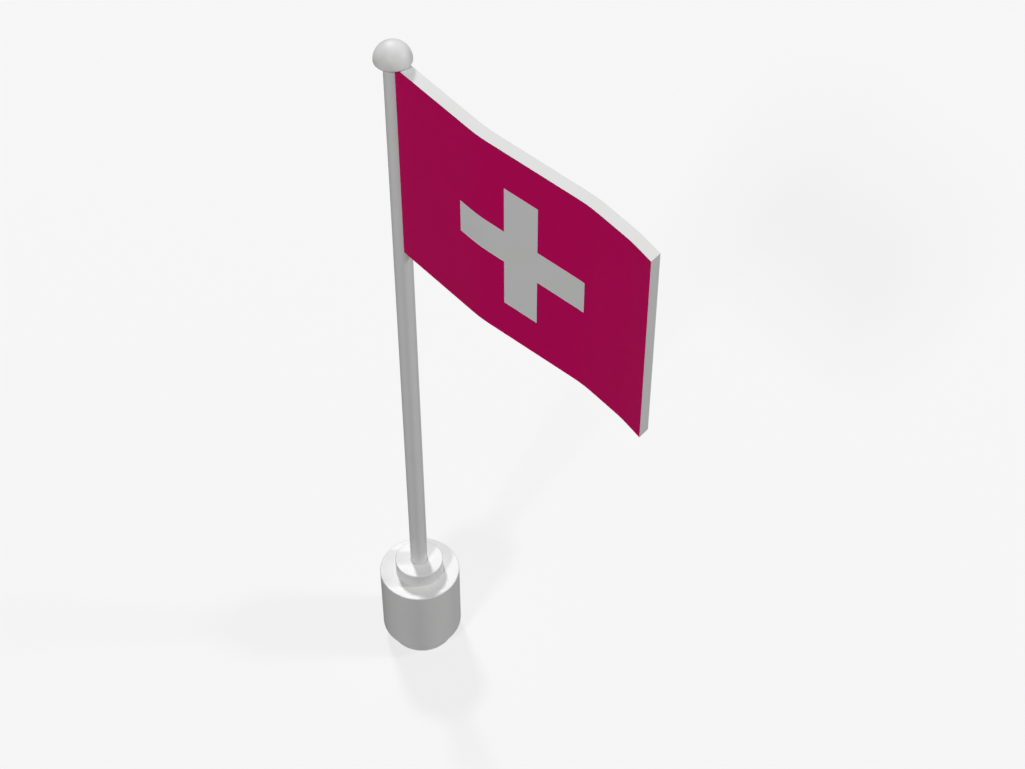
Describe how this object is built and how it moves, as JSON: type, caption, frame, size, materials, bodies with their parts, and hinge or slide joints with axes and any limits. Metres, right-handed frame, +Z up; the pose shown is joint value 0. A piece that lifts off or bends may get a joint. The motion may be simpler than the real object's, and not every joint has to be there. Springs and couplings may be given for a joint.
{
  "type": "toy brick flag",
  "caption": "Stiff waved toy flag with an unprinted cross, on a thin pole with a ball tip, turning in a round hollow brick that grips a toy stud.",
  "frame": {"origin": "centre of the mouth of the stud socket, in the plane of the base brick's foot", "axes": "+Z up the pole, +X from the pole towards the flag's free end, +Y towards the flag's back face"},
  "size_m": [0.0297, 0.008, 0.0744],
  "materials": {
    "brick_plastic": "glossy white moulded plastic",
    "mast_plastic": "satin white moulded plastic",
    "flag_plastic": "glossy white moulded plastic",
    "print_ink": "crimson printed ink, smooth and slightly glossy"
  },
  "bodies": {
    "base": {"base_brick": "brick_plastic"},
    "mast": {"pole": "mast_plastic", "finial": "mast_plastic", "flag_panel": "flag_plastic", "front_print": "print_ink", "back_print": "print_ink"}
  },
  "joints": [
    {"name": "mast_swivel", "type": "hinge", "parent": "base", "child": "mast", "pos_m": [0, 0, 0.0092], "axis": [0, 0, 1], "continuous": true}
  ]
}
